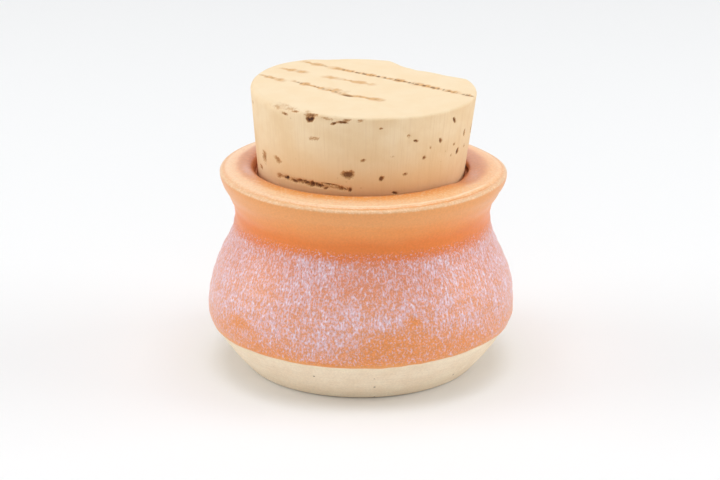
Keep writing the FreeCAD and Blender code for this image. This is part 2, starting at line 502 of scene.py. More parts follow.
# %% Pores
# Each pore is (degrees round from the front, height over the ledge, width, height, tilt in degrees,
# darkness).  The dark ones are also deeper.
BACK_PORES = 30
PORES = [
    # On the side.
    (-7.0, 7.2, 2.9, 2.1, 10, 0.74),
    (-51, 7.6, 2.8, 1.5, -15, 0.42),
    (-64.5, 6.6, 2.2, 3.4, 10, 0.42),
    (-71, 3.0, 2.2, 1.2, 0, 0.42),
    (-25, 15.4, 3.0, 1.0, 8, 0.3),
    (0.3, 11.0, 1.5, 0.8, 35, 0.5),
    (8.7, 19.1, 0.9, 0.5, 0, 0.62),
    (23.5, 16.9, 1.3, 1.0, 0, 0.32),
    (27.6, 15.4, 1.3, 0.6, -20, 1.0),
    (43.6, 14.4, 0.7, 1.2, 20, 0.8),
    (37, 13.1, 0.5, 0.9, 10, 0.45),
    (33.8, 10.8, 0.9, 0.9, 20, 0.7),
    (15.5, 11.9, 1.1, 0.6, 0, 0.2),
    (53, 18.6, 2.0, 0.6, -50, 0.95),
    (55.5, 12.2, 0.9, 0.9, 0, 0.5),
    (60.5, 10.0, 1.1, 1.5, -15, 1.0),
    (54, 9.6, 1.0, 0.7, 0, 0.25),
    (66, 13.9, 0.9, 2.2, 5, 0.55),
    (69, 10.3, 1.0, 1.1, 0, 0.3),
    (23, 7.2, 1.0, 0.7, 20, 0.6),
    (10.2, 6.4, 0.9, 1.4, -25, 0.8),
    (18, 2.6, 1.3, 0.6, -10, 1.0),
    # Along the crumbled edge.
    (-43, 20.0, 2.2, 0.6, -5, 0.6),
    (-37, 21.2, 2.0, 0.5, 5, 0.5),
    (-28.4, 19.9, 1.3, 0.9, -40, 1.0),
    (-26.6, 20.1, 1.5, 0.9, 45, 1.0),
    (-27.0, 21.2, 3.0, 1.1, 8, 0.55),
    (-18.5, 20.8, 3.2, 0.7, -5, 0.3),
    (-14.5, 19.9, 1.4, 0.6, 25, 0.95),
    (-10.5, 20.3, 3.0, 0.5, 0, 0.75),
    (-8.0, 21.0, 1.9, 0.6, 5, 0.5),
    (-1.5, 21.0, 1.8, 0.8, 10, 0.35),
    (-24.0, 21.6, 1.2, 0.5, 0, 0.4),
    # In the dark seam just over the lip.
    (-38.5, 3.5, 1.9, 0.6, -5, 1.0),
    (-35, 3.9, 1.8, 0.8, 0, 0.8),
    (-31, 3.6, 1.6, 0.4, -10, 1.0),
    (-27, 3.8, 1.5, 1.7, 0, 1.0),
    (-23, 3.6, 1.5, 0.7, -20, 0.95),
    (-17, 4.3, 4.2, 0.4, -3, 0.7),
    (-19, 3.2, 1.2, 0.6, 30, 0.8),
    (-10.5, 3.6, 1.2, 1.0, 0, 0.6),
    (-6, 3.3, 1.0, 1.1, 0, 0.85),
    (-50, 3.5, 2.0, 1.2, 0, 0.45),
]


def more_pores(count, seed):
    """Pores for the cork's back, thrown at random but the same each time."""
    chance = np.random.default_rng(seed)
    degrees = chance.uniform(80, 282, count)
    heights = chance.uniform(2, 20, count)
    widths = chance.uniform(0.7, 1.3, count) * chance.choice([1, 1, 1, 2], count)
    talls = widths * chance.uniform(0.6, 1.2, count)
    tilts = chance.uniform(-30, 30, count)
    darks = chance.uniform(0.3, 1.0, count)
    return list(zip(degrees, heights, widths, talls, tilts, darks))


def pore_field(degrees, height, radius, shake):
    """How dark and how deep in a pore each point is.

    A pore is a tilted ellipse whose outline is shaken by noise.  Its darkness fades towards its
    edge, and where two pores meet the stronger one counts.
    """
    field = np.zeros(np.broadcast(degrees, height).shape)
    depth = np.zeros_like(field)
    for middle, up, width, tall, tilt, dark in PORES + more_pores(BACK_PORES, 17):
        sideways = np.radians(turned_from(degrees, middle)) * radius
        upward = height - up
        c, s = math.cos(math.radians(tilt)), math.sin(math.radians(tilt))
        long_way, short_way = sideways * c + upward * s, upward * c - sideways * s
        far = np.hypot(long_way / (width / 2), short_way / (tall / 2))
        inside = np.clip(1.35 - far * (1 + 0.5 * shake), 0, 1)
        field = np.maximum(field, inside * dark)
        deepest = min(0.75, 0.3 * (width + tall) / 2)
        depth = np.maximum(depth, ease(0, 1, inside) * dark * deepest)
    return field, depth


print("pores placed by hand:", len(PORES), " at random:", BACK_PORES)

# %% Yearly growth lines on the top
# The lines run nearly parallel, turned 34 degrees from left-right.  "Along" and "across" are
# coordinates turned with them, in millimetres.  Each line is (across, start, end, reach of its wander,
# phase of its wander, slope, darkness), and the mesh and the material both use this list.
LINE_TURN = math.radians(-34)
LINE_WANDER = 0.13
GROWTH_LINES = [
    (9.7, -26.0, -9.5, 0.35, 0.6, 0.008, 0.5),
    (9.9, -14.5, 26.5, 0.35, 0.6, 0.008, 1.0),
    (-8.0, -27.0, -16.5, 0.15, 0.0, -0.09, 0.6),
    (-8.0, -17.5, 3.5, 0.1, 2.0, -0.1, 0.8),
    (-8.0, 0.5, 12.0, 0.12, 1.0, 0.11, 0.6),
    (1.1, -26.5, -16.5, 0.15, 1.2, 0.1, 0.5),
    (1.9, -14.0, 2.5, 0.2, 3.0, 0.13, 0.36),
    (-6.9, -7.5, 1.0, 0.1, 0.5, 0.16, 0.35),
]
# Wider dark places on the lines: (along, across, length, width).
LINE_SPOTS = [(1.2, -8.75, 4.6, 2.1)]


def along_lines(x, y):
    """Coordinates along and across the growth lines."""
    c, s = math.cos(LINE_TURN), math.sin(LINE_TURN)
    return x * c + y * s, y * c - x * s


def growth_depth(x, y):
    """How far each point of the top is sunk by the growth lines: a shallow groove along each."""
    along, across = along_lines(x, y)
    depth = np.zeros_like(along)
    for place, start, end, reach, phase, slope, dark in GROWTH_LINES:
        middle = (start + end) / 2
        line = place + slope * (along - middle) + reach * np.sin(LINE_WANDER * along + phase)
        ends = ease(start, start + 2, along) * (1 - ease(end - 2, end, along))
        depth = np.maximum(depth, 0.14 * dark * ends * bell(across, line, 0.5))
    for at, off, length, width in LINE_SPOTS:
        spot = bell(along, at, length / 2) * bell(across, off, width / 2)
        depth = np.maximum(depth, 0.35 * spot)
    return depth


print("growth lines:", len(GROWTH_LINES))

# %% The cork's rows
UNDER_ROWS = 6
HIDDEN_ROWS = 9
SIDE_ROWS = 86
EDGE_ROWS = 8
TOP_ROWS = 62


def cork_radius(angle, from_right, height):
    """Radius of the stopper: the smaller of the cone's and the missing strip's, softly joined.

    The soft minimum of a and b is (a + b - sqrt((a - b)^2 + c)) / 2, where a larger c makes the
    corner between them rounder.  Below the mouth it is the plain cone.
    """
    corner = 0.12
    ring_x, ring_y = np.sin(angle) * 2, np.cos(angle) * 2
    cone = cone_radius(height) + out_of_round(from_right, height) - SKIN_INSET
    cone = cone - 0.06 * cloud(ring_x, ring_y, 0, 1.0, 51)
    wane = wane_radius(from_right, height)
    soft = np.sqrt((cone - wane) ** 2 + corner)
    return np.where(height > 0.5, (cone + wane - soft) / 2, cone_radius(height) - SKIN_INSET)


def cork_rows(angle, from_right, edge):
    """Radius, height and upward of every point, before anything is pushed in.

    The rows run: underside, hidden taper, visible taper, rounded edge, top.  The rounded edge is a
    quarter circle of radius edge.  Upward is 0 on the side, 1 on the top and grows over the edge.
    """
    low = cone_radius(-CORK_HIDDEN) - SKIN_INSET
    rows = []
    for share in np.linspace(0, 1, UNDER_ROWS, endpoint=False):
        rows.append((share * low, -CORK_HIDDEN, 0))
    for height in np.linspace(-CORK_HIDDEN, 0, HIDDEN_ROWS, endpoint=False):
        rows.append((cork_radius(angle, from_right, height), height, 0))
    for share in np.arange(SIDE_ROWS) / SIDE_ROWS:
        height = share * (CORK_EXPOSED - edge)
        rows.append((cork_radius(angle, from_right, height), height, 0))
    for share in np.linspace(0, 1, EDGE_ROWS, endpoint=False):
        turn = share * math.pi / 2
        height = CORK_EXPOSED - edge * (1 - math.sin(turn))
        inset = edge * (1 - math.cos(turn))
        rows.append((cork_radius(angle, from_right, height) - inset, height, share))
    rim = cork_radius(angle, from_right, CORK_EXPOSED) - edge
    for share in np.linspace(1, 0, TOP_ROWS):
        rows.append((share * rim, CORK_EXPOSED, 1))
    return [np.vstack([row[part] + 0 * angle for row in rows]) for part in range(3)]


print("rows of the cork:", UNDER_ROWS + HIDDEN_ROWS + SIDE_ROWS + EDGE_ROWS + TOP_ROWS)

# %% Push in its hollows
def cork_surface():
    """Points of the cork's skin and the fields that its material reads.

    Each point sinks along the normal by the sum of its hollows: pores, growth lines, the dark
    seam, the bare bark of the missing strip, the crumbled edge and the knife's fine marks.  Then
    the whole is tipped about the ledge and stood in the mouth.
    """
    angle = np.linspace(0, 2 * math.pi, CORK_COLUMNS, endpoint=False)[None, :]
    degrees = np.degrees(angle)
    from_front = turned_from(degrees, 0)
    from_right = (degrees - 90) % 360
    worn = bell(from_front, -62, 26)
    crumble = bell(from_front, -45, 10) + 0.8 * bell(from_front, -29, 3) + 0.5 * bell(from_front, -16, 5)
    crumble = np.clip(crumble + 0.25 * cloud(angle * 12, 0 * angle, 0 * angle, 1.0, 50), 0, 1)
    edge = 0.7 + 1.3 * worn + 0.3 * crumble
    radius, height, upward = cork_rows(angle, from_right, edge)

    x, y = radius * np.sin(angle), -radius * np.cos(angle)
    shake = rough(x, y, height, 1.1, 60)
    pore, pore_depth = pore_field(degrees, height, radius, shake)
    pore = pore * (1 - ease(0.5, 0.9, upward))
    pore_depth = pore_depth * (1 - ease(0.3, 0.9, upward))

    pits = np.clip(rough(x, y, height, 1.2, 70) * 1.8, 0, 1)
    seam_middle = 3.75 - 0.35 * ease(-14, -5, from_front) + 0.25 * shake
    seam_ends = ease(-54, -47, from_front) * (1 - ease(-8, -4, from_front))
    seam = np.clip(1.2 - np.abs(height - seam_middle) / 0.75, 0, 1) * seam_ends
    cut_off = cone_radius(height) + out_of_round(from_right, height) - wane_radius(from_right, height)
    gone = ease(0.0, 1.2, cut_off) * ease(1, 3, height) * (1 - upward)
    lumps = rough(x * 0.8, y * 0.8, height, 3.0, 75)
    from_rim = cork_radius(angle, from_right, CORK_EXPOSED) - edge - radius
    crumbled = crumble * bell(height, CORK_EXPOSED, 1.4) * (1 - ease(0.0, 1.4, from_rim))

    sunk = pore_depth + growth_depth(x, y) * upward + seam * (0.1 + 0.35 * pits)
    sunk = sunk + gone * (0.5 + 0.5 * lumps + 0.5 * pits) + crumbled * (0.1 + 0.5 * pits)
    knife = 0.015 * cloud(x, y, height * 0.04, 0.8, 80) * (1 - upward)
    grain = 0.02 * rough(x, y, height, 0.9, 90)
    sunk = (sunk + knife + grain + 0.03) * ease(0.3, 1.5, height)
    slope = upward * math.pi / 2
    radius = radius - sunk * np.cos(slope)
    height = height - sunk * np.sin(slope)

    tip = math.radians(CORK_LEAN)
    x, y = radius * np.sin(angle), -radius * np.cos(angle)
    points = np.stack([
        x * math.cos(tip) + height * math.sin(tip),
        y,
        LEDGE_HEIGHT - x * math.sin(tip) + height * math.cos(tip),
    ], -1)
    fields = {
        "pore": pore,
        "bark": np.maximum(seam * (0.45 + 0.55 * pits), gone * (0.35 + 0.65 * pits)),
        "crumbled": crumbled * (0.35 + 0.65 * pits),
        "upward": upward,
    }
    return points, fields


cork_points, cork_fields = cork_surface()
cork = closed_skin("cork_skin", cork_points, cork_fields)
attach(cork, "root")
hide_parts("cork")
print("cork skin reaches", *corners(cork_points))

# %% [markdown]
# ## Building materials from nodes
#
# A material is a small graph.  A few helpers keep the graphs short: one adds a node and fills its
# sockets, and the others do arithmetic, fade, mix, and make noise.  Colours are written as 0 to
# 255, the way a colour picker shows them, and turned into the linear values that light is worked
# out with.

# %% Helpers for node graphs
def paint(red, green, blue):
    """A picker's colour as linear red, green, blue and alpha."""
    c = np.array([red, green, blue]) / 255
    linear = np.where(c <= 0.04045, c / 12.92, ((c + 0.055) / 1.055) ** 2.4)
    return (*[float(value) for value in linear], 1.0)


def put(tree, kind, inputs=None, **settings):
    """Adds a node.  Each input is a value to set or another node's output to link."""
    node = tree.nodes.new(kind)
    for name, value in settings.items():
        setattr(node, name, value)
    for key, value in (inputs or {}).items():
        if isinstance(value, bpy.types.NodeSocket):
            tree.links.new(value, node.inputs[key])
        else:
            node.inputs[key].default_value = value
    return node


def sums(tree, operation, first, second=0.0, third=0.0):
    """One step of arithmetic; returns its output."""
    return put(tree, "ShaderNodeMath", {0: first, 1: second, 2: third}, operation=operation).outputs[0]


def times(tree, first, second):
    """The product of two values."""
    return sums(tree, "MULTIPLY", first, second)


def off_from(tree, value, middle):
    """How far a value is from a middle, either way."""
    return sums(tree, "ABSOLUTE", sums(tree, "SUBTRACT", value, middle))


def nudge(tree, value, wave, share):
    """The value, moved by a share of how far a wave is from a half."""
    return sums(tree, "MULTIPLY_ADD", sums(tree, "SUBTRACT", wave, 0.5), share, value)


def vectors(tree, operation, first, second):
    """One step of vector arithmetic; returns its outputs.  For SCALE the second is a number."""
    inputs = {0: first, "Scale" if operation == "SCALE" else 1: second}
    return put(tree, "ShaderNodeVectorMath", inputs, operation=operation).outputs


def axes(tree, vector):
    """The x, y and z of a vector."""
    return put(tree, "ShaderNodeSeparateXYZ", {0: vector}).outputs


def fade(tree, value, low, high, to_low=0.0, to_high=1.0):
    """A smooth step from to_low to to_high as the value goes from low to high."""
    inputs = {"Value": value, 1: low, 2: high, 3: to_low, 4: to_high}
    return put(tree, "ShaderNodeMapRange", inputs, interpolation_type="SMOOTHSTEP").outputs[0]


def mix(tree, factor, first, second, blend_type="MIX"):
    """Mixes two colours, each a value or another node's output."""
    node = put(tree, "ShaderNodeMix", {0: factor, 6: first, 7: second}, data_type="RGBA")
    node.blend_type = blend_type
    return node.outputs[2]


def ripple(tree, vector, scale, detail=2.0, roughness=0.5):
    """Noise with about scale features to each unit of the vector."""
    inputs = {"Vector": vector, "Scale": scale, "Detail": detail, "Roughness": roughness}
    return put(tree, "ShaderNodeTexNoise", inputs).outputs[0]


def noise(tree, vector, size, detail=2.0, roughness=0.5):
    """Noise whose features are about size millimetres across, on a vector in metres."""
    return ripple(tree, vector, 1 / (size * MM), detail, roughness)


def field(tree, name):
    """A value that the mesh carries at each point."""
    return put(tree, "ShaderNodeAttribute", attribute_name=name).outputs["Fac"]


def ramp(tree, factor, stops):
    """Colours along a line from 0 to 1, given as (position, colour) pairs."""
    node = put(tree, "ShaderNodeValToRGB", {"Fac": factor})
    bar = node.color_ramp.elements
    while len(bar) < len(stops):
        bar.new(0.5)
    for element, (position, colour) in zip(bar, stops):
        element.position = position
        element.color = colour
    return node.outputs[0]


def new_material(name):
    """An empty material with its output and one Principled BSDF; returns all three."""
    material = bpy.data.materials.new(name)
    material.use_nodes = True
    tree = material.node_tree
    tree.nodes.clear()
    shader = put(tree, "ShaderNodeBsdfPrincipled")
    put(tree, "ShaderNodeOutputMaterial", {"Surface": shader.outputs[0]})
    return material, tree, shader


print("a mid grey of 188 is", round(paint(188, 188, 188)[0], 3), "in linear light")

# %% [markdown]
# ## Effects that both materials share
#
# Clay and cork both have stray dark specks, all three surfaces drift a little between lighter and
# darker, and both the glaze's streaks and the cork's knife marks run straight up and down a round
# wall.  Each effect is a node group, made once, with its sizes as inputs.

# %% Node groups: specks, mottle and meridian
def new_group(name, inputs, outputs):
    """A shader node group with float or vector inputs and one or more outputs."""
    group = bpy.data.node_groups.new(name, "ShaderNodeTree")
    for socket, kind, value in inputs:
        made = group.interface.new_socket(socket, in_out="INPUT", socket_type=kind)
        if value is not None:
            made.default_value = value
    for socket, kind in outputs:
        group.interface.new_socket(socket, in_out="OUTPUT", socket_type=kind)
    entry = group.nodes.new("NodeGroupInput")
    result = group.nodes.new("NodeGroupOutput")
    return group, entry.outputs, result.inputs


def specks_group():
    """Sparse dots: the cells of a Voronoi pattern whose random colour falls under a share."""
    group, given, result = new_group(
        "specks",
        [("Vector", "NodeSocketVector", None), ("Scale", "NodeSocketFloat", 400.0),
         ("Share", "NodeSocketFloat", 0.1), ("Radius", "NodeSocketFloat", 0.25)],
        [("Mask", "NodeSocketFloat")],
    )
    cells = put(group, "ShaderNodeTexVoronoi", {"Vector": given["Vector"], "Scale": given["Scale"]})
    lucky = put(group, "ShaderNodeSeparateColor", {0: cells.outputs["Color"]}).outputs[0]
    chosen = sums(group, "LESS_THAN", lucky, given["Share"])
    inner = times(group, given["Radius"], 0.5)
    near = fade(group, cells.outputs["Distance"], inner, given["Radius"], 1.0, 0.0)
    group.links.new(times(group, near, chosen), result["Mask"])
    return group


def mottle_group():
    """Slow drift of tone: soft noise spread to the range 0 to 1 about a half."""
    group, given, result = new_group(
        "mottle",
        [("Vector", "NodeSocketVector", None), ("Scale", "NodeSocketFloat", 100.0),
         ("Detail", "NodeSocketFloat", 3.0)],
        [("Value", "NodeSocketFloat")],
    )
    drift = ripple(group, given["Vector"], given["Scale"], given["Detail"])
    group.links.new(fade(group, drift, 0.3, 0.7), result["Value"])
    return group


MERIDIAN_RADIUS = 0.035


def meridian_group():
    """Coordinates in which noise runs down the wall: round the axis at one radius, height squeezed.

    Only the direction from the axis is kept, so a streak stays on its own line from lip to foot,
    and there is no seam where the angle starts again.
    """
    group, given, result = new_group(
        "meridian",
        [("Vector", "NodeSocketVector", None), ("Squeeze", "NodeSocketFloat", 0.3),
         ("Waver", "NodeSocketFloat", 0.0)],
        [("Vector", "NodeSocketVector")],
    )
    apart = axes(group, given["Vector"])
    flat = put(group, "ShaderNodeCombineXYZ", {0: apart[0], 1: apart[1]}).outputs[0]
    unit = put(group, "ShaderNodeVectorMath", {0: flat}, operation="NORMALIZE").outputs[0]
    round_axis = vectors(group, "SCALE", unit, MERIDIAN_RADIUS)[0]
    tall = times(group, apart[2], given["Squeeze"])
    lifted = put(group, "ShaderNodeCombineXYZ", {2: tall}).outputs[0]
    joined = vectors(group, "ADD", round_axis, lifted)[0]
    sway = put(group, "ShaderNodeTexNoise", {"Vector": given["Vector"], "Scale": 420.0, "Detail": 2.0})
    centred = vectors(group, "SUBTRACT", sway.outputs["Color"], (0.5, 0.5, 0.5))[0]
    moved = vectors(group, "SCALE", centred, given["Waver"])[0]
    group.links.new(vectors(group, "ADD", joined, moved)[0], result["Vector"])
    return group


SPECKS, MOTTLE, MERIDIAN = specks_group(), mottle_group(), meridian_group()


def use(tree, group, inputs):
    """Places a node group in a material and returns its outputs."""
    return put(tree, "ShaderNodeGroup", inputs, node_tree=group).outputs


def mottle(tree, vector, scale, detail=3.0):
    """Slow drift of tone, between 0 and 1."""
    return use(tree, MOTTLE, {"Vector": vector, "Scale": scale, "Detail": detail})[0]


def specks(tree, vector, scale, share, radius):
    """Mask of sparse dots."""
    return use(tree, SPECKS, {"Vector": vector, "Scale": scale, "Share": share, "Radius": radius})[0]


def meridian(tree, vector, squeeze, waver):
    """Coordinates for marks that run up and down the wall."""
    return use(tree, MERIDIAN, {"Vector": vector, "Squeeze": squeeze, "Waver": waver})[0]


print("groups:", [group.name for group in (SPECKS, MOTTLE, MERIDIAN)])

# %% [markdown]
# ## Streaked glaze over bare clay
#
# The glaze is an orange one over which a titanium-rich layer has run in the kiln.  Where that layer
# is thick it breaks into fine lilac and white strands that run down the wall, and where it is thin,
# round the neck, the plain orange shows.  Glaze runs off the lip's edges, and they come out pale.
# The foot is bare clay: cream, dull, with a few dark specks.
#
# One material holds both, because they are one surface.  It reads the height from Object
# coordinates, and four fields of the mesh say how far a point is above the glaze line, where it
# lies across the lip, how thick the veil is and where a soft lavender highlight is painted on the
# mouth's inner roll at the left and right.

# %% Colours of the glaze
ORANGE_DEEP = paint(239, 132, 52)
ORANGE_TAN = paint(241, 166, 99)
RUST = paint(231, 124, 60)
DUSKY_ROSE = paint(224, 165, 145)
LILAC = paint(230, 192, 202)
WHITE_STRAND = paint(246, 230, 240)
CLAY = paint(249, 233, 207)
CLAY_WARM = paint(244, 224, 196)
# From the foot up to the lip, by the share of the lip's height.
BODY_TOP = 51.0
BODY_STOPS = [
    (0.21, paint(240, 168, 100)),
    (0.245, paint(236, 148, 80)),
    (0.40, paint(233, 147, 82)),
    (0.52, paint(231, 144, 87)),
    (0.65, paint(226, 132, 84)),
    (0.71, RUST),
    (0.75, ORANGE_DEEP),
    (0.78, ORANGE_DEEP),
    (0.84, paint(243, 154, 80)),
    (0.90, ORANGE_TAN),
    (0.97, ORANGE_TAN),
]
# Across the lip, by a third of its mark: 0 under the lip, 0.33 at the edge, 0.67 at the crown.
LIP_STOPS = [
    (0.000, paint(236, 168, 106)),
    (0.035, paint(234, 180, 130)),
    (0.080, paint(234, 192, 148)),
    (0.130, paint(232, 186, 140)),
    (0.195, paint(232, 174, 120)),
    (0.240, paint(236, 190, 146)),
    (0.290, paint(240, 201, 162)),
    (0.370, paint(240, 194, 146)),
    (0.430, paint(243, 190, 136)),
    (0.500, paint(244, 179, 117)),
    (0.570, paint(246, 171, 98)),
    (0.630, paint(244, 162, 82)),
    (0.700, paint(240, 152, 76)),
    # From here on the stops darken down the inward roll: painted shade in the crevice round the cork,
    # over the glaze's own orange.
    (0.800, paint(230, 138, 78)),
    (0.900, paint(216, 134, 86)),
    (0.970, paint(206, 126, 82)),
]
# The same for the lip's inner side, away from the front: darker, more salmon colours, which are painted
# shade with a salmon tint of the glaze, darkest down in the mouth.
FAR_LIP_SHADE_STOPS = [
    (0.35, paint(236, 182, 138)),
    (0.45, paint(224, 156, 112)),
    (0.58, paint(206, 134, 96)),
    (0.78, paint(204, 130, 92)),
    (0.95, paint(204, 126, 84)),
]
print("colour stops:", len(BODY_STOPS), "up the wall,", len(LIP_STOPS), "across the lip")

# %% Strands that net the veil
def strand_web(tree, coordinates):
    """Fine strands, between 0 and 1: soft wavy runs, with thin bright lines that net them together.

    The lines are where a noise passes through its middle value, so they close into loops.
    """
    short = noise(tree, meridian(tree, coordinates, 0.6, 0.0004), 0.42, roughness=0.6)
    long = noise(tree, meridian(tree, coordinates, 0.2, 0.0006), 0.55)
    net = noise(tree, meridian(tree, coordinates, 0.45, 0.0008), 1.1, roughness=0.6)
    line = fade(tree, off_from(tree, net, 0.5), 0.0, 0.05, 1.0, 0.0)
    runs = sums(tree, "MULTIPLY_ADD", short, 0.68, times(tree, long, 0.32))
    return sums(tree, "MULTIPLY_ADD", line, 0.09, sums(tree, "SUBTRACT", runs, 0.02))


def glaze_body_colour(tree, coordinates, height):
    """Orange that changes with height, under a veil of rose haze, lilac strands and white ones.

    Returns the colour and how much lilac shows.  Strands show where the web plus a share of the
    veil's thickness passes a threshold, so they join up where the veil is thick.
    """
    level = nudge(tree, height, mottle(tree, coordinates, 120.0), 0.8)
    base = ramp(tree, sums(tree, "DIVIDE", level, BODY_TOP), BODY_STOPS)
    veil = field(tree, "veil")
    thick = nudge(tree, veil, noise(tree, coordinates, 4.5, detail=3.0), 0.6)
    haze = times(tree, fade(tree, thick, 0.45, 1.15, 0.0, 0.45), fade(tree, veil, 0.0, 0.3))
    base = mix(tree, haze, base, DUSKY_ROSE)
    web = strand_web(tree, coordinates)
    strength = sums(tree, "MULTIPLY_ADD", sums(tree, "SUBTRACT", thick, 0.97), 0.27, web)
    shown = fade(tree, veil, 0.02, 0.2)
    lilac = times(tree, fade(tree, strength, 0.42, 0.6), shown)
    dust = fade(tree, noise(tree, coordinates, 0.42, detail=1.0), 0.56, 0.7, 0.0, 0.7)
    dust = times(tree, dust, fade(tree, veil, 0.03, 0.35))
    colour = mix(tree, sums(tree, "MAXIMUM", dust, lilac), base, LILAC)
    bright = times(tree, fade(tree, strength, 0.56, 0.7), shown)
    return mix(tree, times(tree, bright, 0.85), colour, WHITE_STRAND), lilac


# %% Colours across the lip
# One stray orange fleck lies on the lip's right.  Its place is in metres.
FLECK_PLACE = (0.0333, -0.0098, 0.0478)


def freckle(tree, coordinates, colour, size, tint, share):
    """Lays a mottle of one tint over a colour, in soft blots of one size in millimetres."""
    blots = noise(tree, coordinates, size, detail=3.0)
    return mix(tree, fade(tree, blots, 0.46, 0.68, 0.0, share), colour, tint)


def thin_ring(tree, place, middle, near, far, sharp):
    """Mask of a line round the lip: 1 within near of its middle, 0 past far, times sharp."""
    return times(tree, fade(tree, off_from(tree, place, middle), near, far, 1.0, 0.0), sharp)


def lip_colour(tree, coordinates, across):
    """Colours across the lip: cream lower edge, thin orange line, cream crest, orange inside.

    Away from the front, the inside of the lip takes darker salmon colours: painted shade, with a salmon
    tint of the glaze.  A soft lavender patch on the mouth's roll at the left and right is a painted
    highlight, and the colours darken down into the mouth as painted shade in the crevice round the cork.
    The lip's edge is tinted cream on the left and amber on the right.  The orange line is the
    groove between the two ridges.  It is sharp where the lip was pinched tighter, on the right and
    the front, and runs out on the left.  Two mottles break the bands up.
    """
    place = nudge(tree, across, mottle(tree, coordinates, 260.0), 0.06)
    share = sums(tree, "DIVIDE", place, 3.0)
    apart = axes(tree, coordinates)
    # Painted shade: away from the front, the inside of the lip takes the darker salmon stops.
    inner = times(tree, fade(tree, place, 0.9, 1.5), fade(tree, apart[1], -0.026, -0.004))
    front, behind = ramp(tree, share, LIP_STOPS), ramp(tree, share, FAR_LIP_SHADE_STOPS)
    colour = mix(tree, times(tree, inner, 0.85), front, behind)
    # Painted highlight: a soft lavender-white patch where the mouth's inner roll turns down, at the left
    # and right.
    colour = mix(tree, times(tree, field(tree, "painted_highlight"), 0.5), colour, paint(232, 196, 188))
    edge_tint = mix(tree, fade(tree, apart[0], -0.005, 0.028), paint(253, 215, 178), paint(253, 192, 130))
    on_edge = fade(tree, off_from(tree, place, 1.0), 0.2, 0.6, 0.5, 0.0)
    colour = mix(tree, on_edge, colour, edge_tint)
    colour = freckle(tree, coordinates, colour, 0.9, paint(240, 164, 100), 0.3)
    pale = freckle(tree, coordinates, colour, 0.55, paint(250, 218, 180), 0.45)
    colour = mix(tree, times(tree, inner, 0.8), pale, colour)

    to_right = fade(tree, apart[0], -0.016, 0.004, 0.12, 0.85)
    in_front = fade(tree, apart[1], -0.0185, -0.014, 1.0, 0.12)
    broken = fade(tree, noise(tree, coordinates, 3.0), 0.3, 0.55, 0.55, 1.0)
    sharp = times(tree, times(tree, to_right, in_front), broken)
    groove = thin_ring(tree, place, 0.59, 0.015, 0.075, sharp)
    colour = mix(tree, groove, colour, paint(232, 148, 80))
    crest = thin_ring(tree, place, 0.86, 0.02, 0.11, sharp)
    colour = mix(tree, crest, colour, paint(255, 228, 194))
    from_fleck = vectors(tree, "DISTANCE", coordinates, FLECK_PLACE)["Value"]
    return mix(tree, fade(tree, from_fleck, 0.0004, 0.0012, 0.7, 0.0), colour, paint(240, 146, 70))


# %% The jar's material
def clay_colour(tree, coordinates):
    """Cream clay with level turning lines and a few dark specks."""
    clay = mix(tree, mottle(tree, coordinates, 220.0, 4.0), CLAY, CLAY_WARM)
    squashed = put(tree, "ShaderNodeMapping", {"Vector": coordinates, "Scale": (0.05, 0.05, 1.0)})
    lines = noise(tree, squashed.outputs[0], 0.5, detail=3.0)
    clay = mix(tree, fade(tree, lines, 0.35, 0.7, 0.0, 0.12), clay, paint(212, 184, 148))
    dots = specks(tree, coordinates, 620.0, 0.045, 0.24)
    return mix(tree, times(tree, dots, 0.7), clay, paint(110, 84, 62))


def stoneware():
    """Glaze above the line and clay below it, in one Principled BSDF.

    A fine grain makes the colour a little lighter and darker, more so in the veil.  The glaze is
    fairly glossy, duller in its lilac and in the mouth, and the clay is dull and gritty.
    """
    material, tree, shader = new_material("streaked_stoneware")
    coordinates = put(tree, "ShaderNodeTexCoord").outputs["Object"]
    height = times(tree, axes(tree, coordinates)[2], 1 / MM)
    body, lilac = glaze_body_colour(tree, coordinates, height)
    across = field(tree, "on_lip")
    glaze = mix(tree, fade(tree, across, 0.0, 0.06), body, lip_colour(tree, coordinates, across))
    few = specks(tree, coordinates, 300.0, 0.02, 0.1)
    glaze = mix(tree, times(tree, few, 0.6), glaze, paint(120, 70, 40))
    covered = fade(tree, field(tree, "above_line"), -0.06, 0.1)
    colour = mix(tree, covered, clay_colour(tree, coordinates), glaze)
    depth = fade(tree, field(tree, "veil"), 0.02, 0.2, 0.25, 0.55)
    shade = nudge(tree, 1.0, noise(tree, coordinates, 0.5), depth)
    tree.links.new(mix(tree, 1.0, colour, shade, "MULTIPLY"), shader.inputs["Base Color"])

    in_mouth = fade(tree, across, 2.3, 2.9, 0.0, 0.4)
    gloss = sums(tree, "MULTIPLY_ADD", lilac, 0.08, sums(tree, "ADD", in_mouth, 0.34))
    dullness = sums(tree, "MULTIPLY_ADD", covered, sums(tree, "SUBTRACT", gloss, 0.85), 0.85)
    tree.links.new(dullness, shader.inputs["Roughness"])

    grit = noise(tree, coordinates, 0.28, detail=3.0)
    peel = times(tree, noise(tree, coordinates, 1.6), covered)
    bare = times(tree, sums(tree, "SUBTRACT", 1.0, covered), 0.7)
    relief = sums(tree, "MULTIPLY_ADD", grit, bare, peel)
    bump = put(tree, "ShaderNodeBump", {"Height": relief, "Strength": 0.3, "Distance": 0.00012})
    tree.links.new(bump.outputs[0], shader.inputs["Normal"])
    return material


jar.data.materials.append(stoneware())
print("jar material nodes:", len(jar.data.materials[0].node_tree.nodes))

# %% [markdown]
# ## Natural cork
#
# Cut cork is pale tan and dull, with fine marks from the knife down its side and a lighter, sanded
# top.  Pores are brown dust-filled holes with a lighter rim, growth lines are thin and brown, and
# bark that is left on is dark and crumbly.  The mesh carries where each of these is, as smooth
# fields, and the material turns them into colour with some noise at their borders, which keeps the
# borders crisp between the mesh's points.

